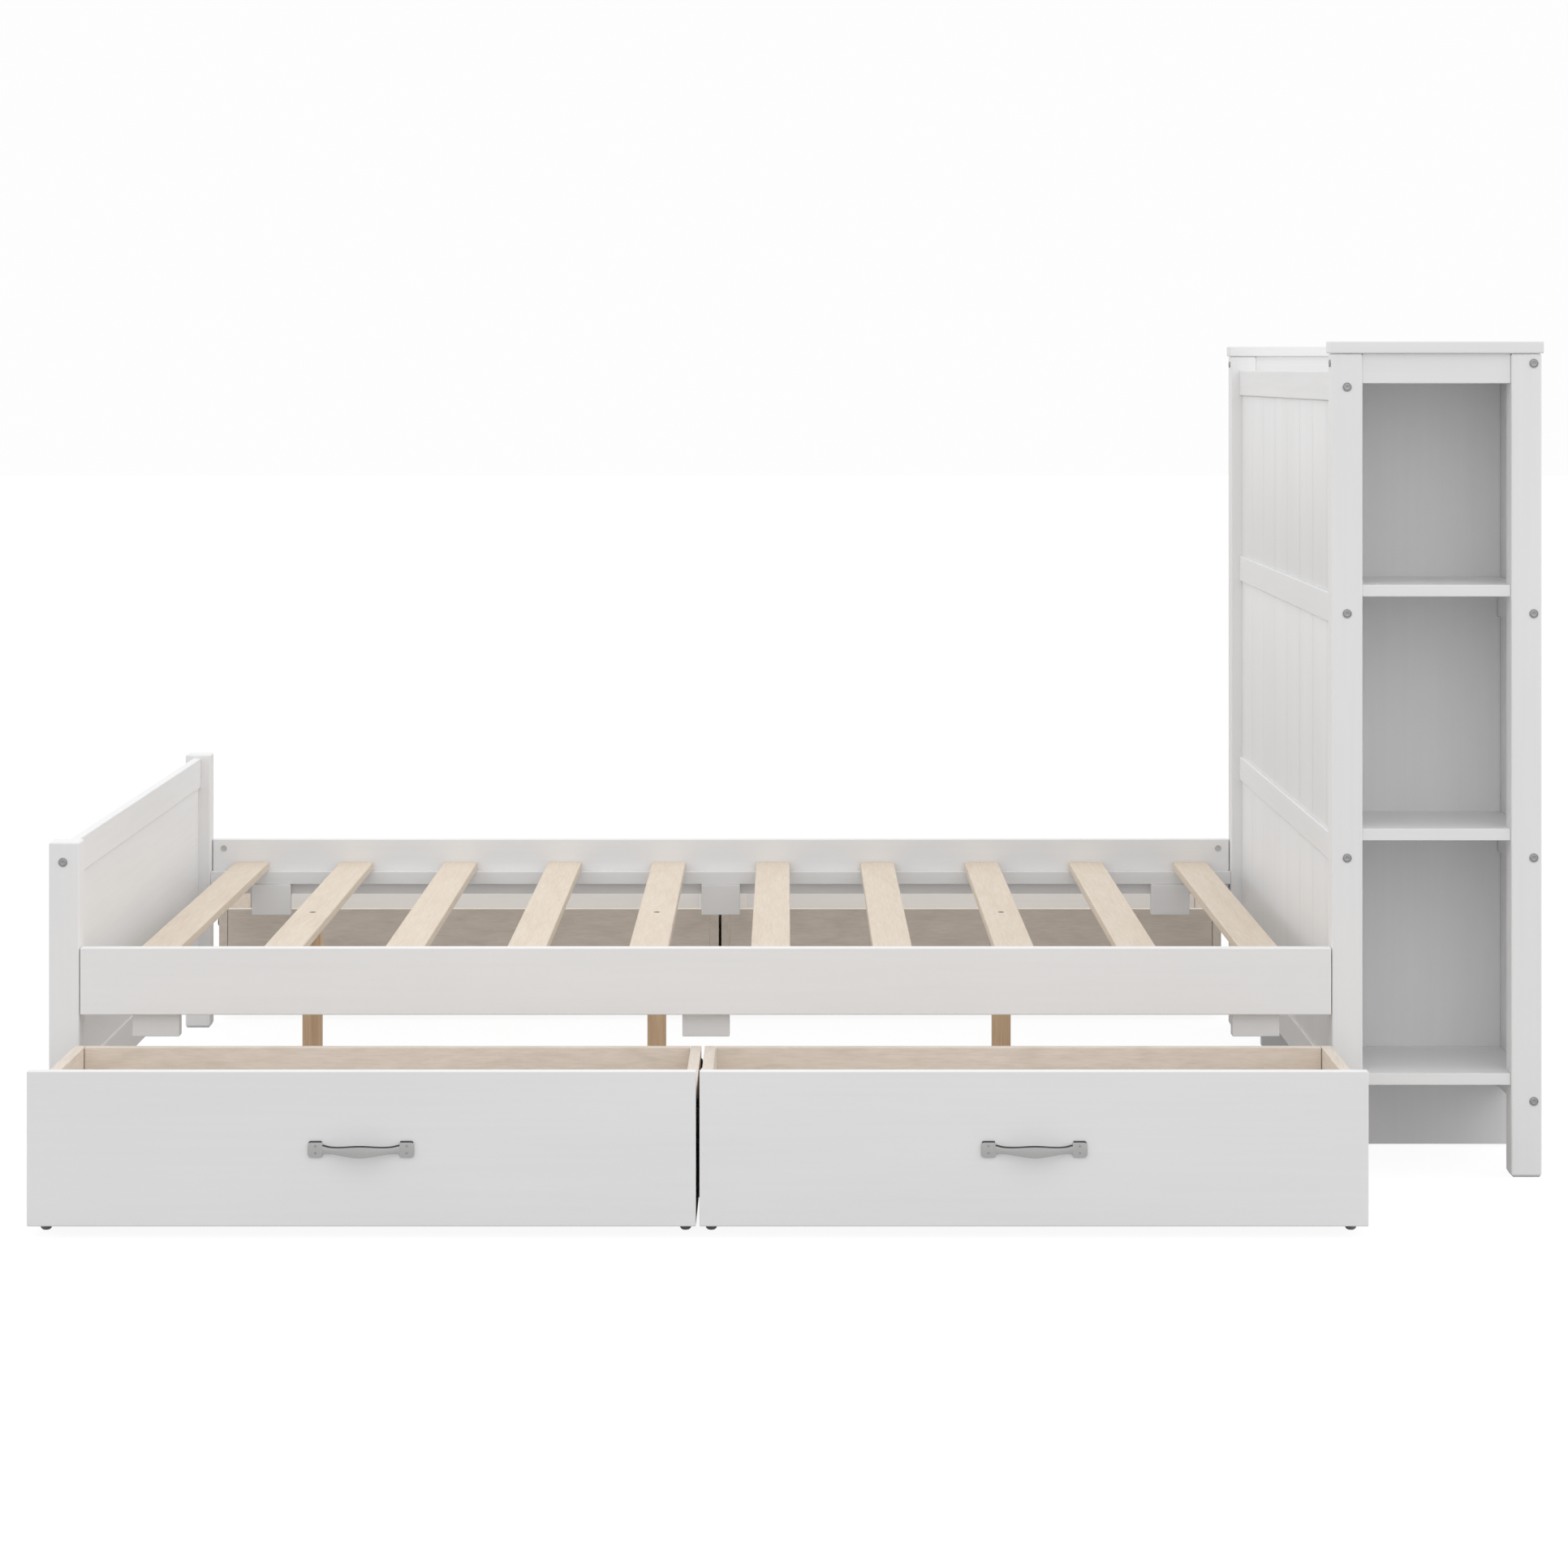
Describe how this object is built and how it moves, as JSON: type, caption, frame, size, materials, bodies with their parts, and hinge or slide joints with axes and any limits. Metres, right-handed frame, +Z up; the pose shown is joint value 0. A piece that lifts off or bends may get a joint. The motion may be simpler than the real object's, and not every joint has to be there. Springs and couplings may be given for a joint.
{
  "type": "platform bed",
  "caption": "Slatted platform bed with a footboard, a panelled headboard backed by end-facing bookshelves, and rolling drawers under both long sides.",
  "frame": {"origin": "on the floor, in the middle of the bounding box with all four drawers pulled out", "axes": "+X from the footboard to the headboard, +Y from the near long side to the far one, +Z up"},
  "size_m": [2.303, 2.356, 1.288],
  "materials": {
    "white_paint": "satin white paint over close-grained wood",
    "birch": "pale sawn birch, unvarnished",
    "drawer_board": "pale beige plywood with faint grain",
    "leg_timber": "light brown sawn timber",
    "nickel": "satin nickel",
    "bolt_grey": "grey zinc-plated bolt heads",
    "bolt_black": "black oxide bolt heads",
    "glide": "grey moulded plastic"
  },
  "bodies": {
    "frame": {"bookcase_cap_far": "white_paint", "bookcase_cap_near": "white_paint", "bookcase_post_far": "white_paint", "bookcase_post_near": "white_paint", "foot_post_far": "white_paint", "foot_post_near": "white_paint", "footboard_bottom_rail": "white_paint", "footboard_panel": "white_paint", "footboard_top_rail": "white_paint", "headboard_bottom_rail": "white_paint", "headboard_lower_rail": "white_paint", "headboard_middle_panel": "white_paint", "headboard_post_far": "white_paint", "headboard_post_near": "white_paint", "headboard_top_rail": "white_paint", "headboard_upper_panel": "white_paint", "headboard_upper_rail": "white_paint", "partition_far": "white_paint", "partition_near": "white_paint", "rear_panel": "white_paint", "shelf_bottom_far": "white_paint", "shelf_bottom_near": "white_paint", "shelf_middle_far": "white_paint", "shelf_middle_near": "white_paint", "shelf_top_far": "white_paint", "shelf_top_near": "white_paint", "side_rail_far": "white_paint", "side_rail_near": "white_paint", "slat_01": "birch", "slat_02": "birch", "slat_03": "birch", "slat_04": "birch", "slat_05": "birch", "slat_06": "birch", "slat_07": "birch", "slat_08": "birch", "slat_09": "birch", "slat_10": "birch", "slat_ledge_far": "white_paint", "slat_ledge_near": "white_paint", "support_leg_1": "leg_timber", "support_leg_2": "leg_timber", "support_leg_3": "leg_timber", "top_board": "white_paint"},
    "drawer_near_foot": {"drawer_near_foot_bottom": "drawer_board", "drawer_near_foot_box": "drawer_board", "drawer_near_foot_front": "white_paint", "drawer_near_foot_handle": "nickel"},
    "drawer_near_head": {"drawer_near_head_bottom": "drawer_board", "drawer_near_head_box": "drawer_board", "drawer_near_head_front": "white_paint", "drawer_near_head_handle": "nickel"},
    "drawer_far_foot": {"drawer_far_foot_bottom": "drawer_board", "drawer_far_foot_box": "drawer_board", "drawer_far_foot_front": "white_paint", "drawer_far_foot_handle": "nickel"},
    "drawer_far_head": {"drawer_far_head_bottom": "drawer_board", "drawer_far_head_box": "drawer_board", "drawer_far_head_front": "white_paint", "drawer_far_head_handle": "nickel"}
  },
  "joints": [
    {"name": "drawer_near_foot_slide", "type": "slide", "parent": "frame", "child": "drawer_near_foot", "axis": [0, -1, 0], "range_m": [-0.433, 0]},
    {"name": "drawer_near_head_slide", "type": "slide", "parent": "frame", "child": "drawer_near_head", "axis": [0, -1, 0], "range_m": [-0.433, 0]},
    {"name": "drawer_far_foot_slide", "type": "slide", "parent": "frame", "child": "drawer_far_foot", "axis": [0, 1, 0], "range_m": [-0.433, 0]},
    {"name": "drawer_far_head_slide", "type": "slide", "parent": "frame", "child": "drawer_far_head", "axis": [0, 1, 0], "range_m": [-0.433, 0]}
  ]
}
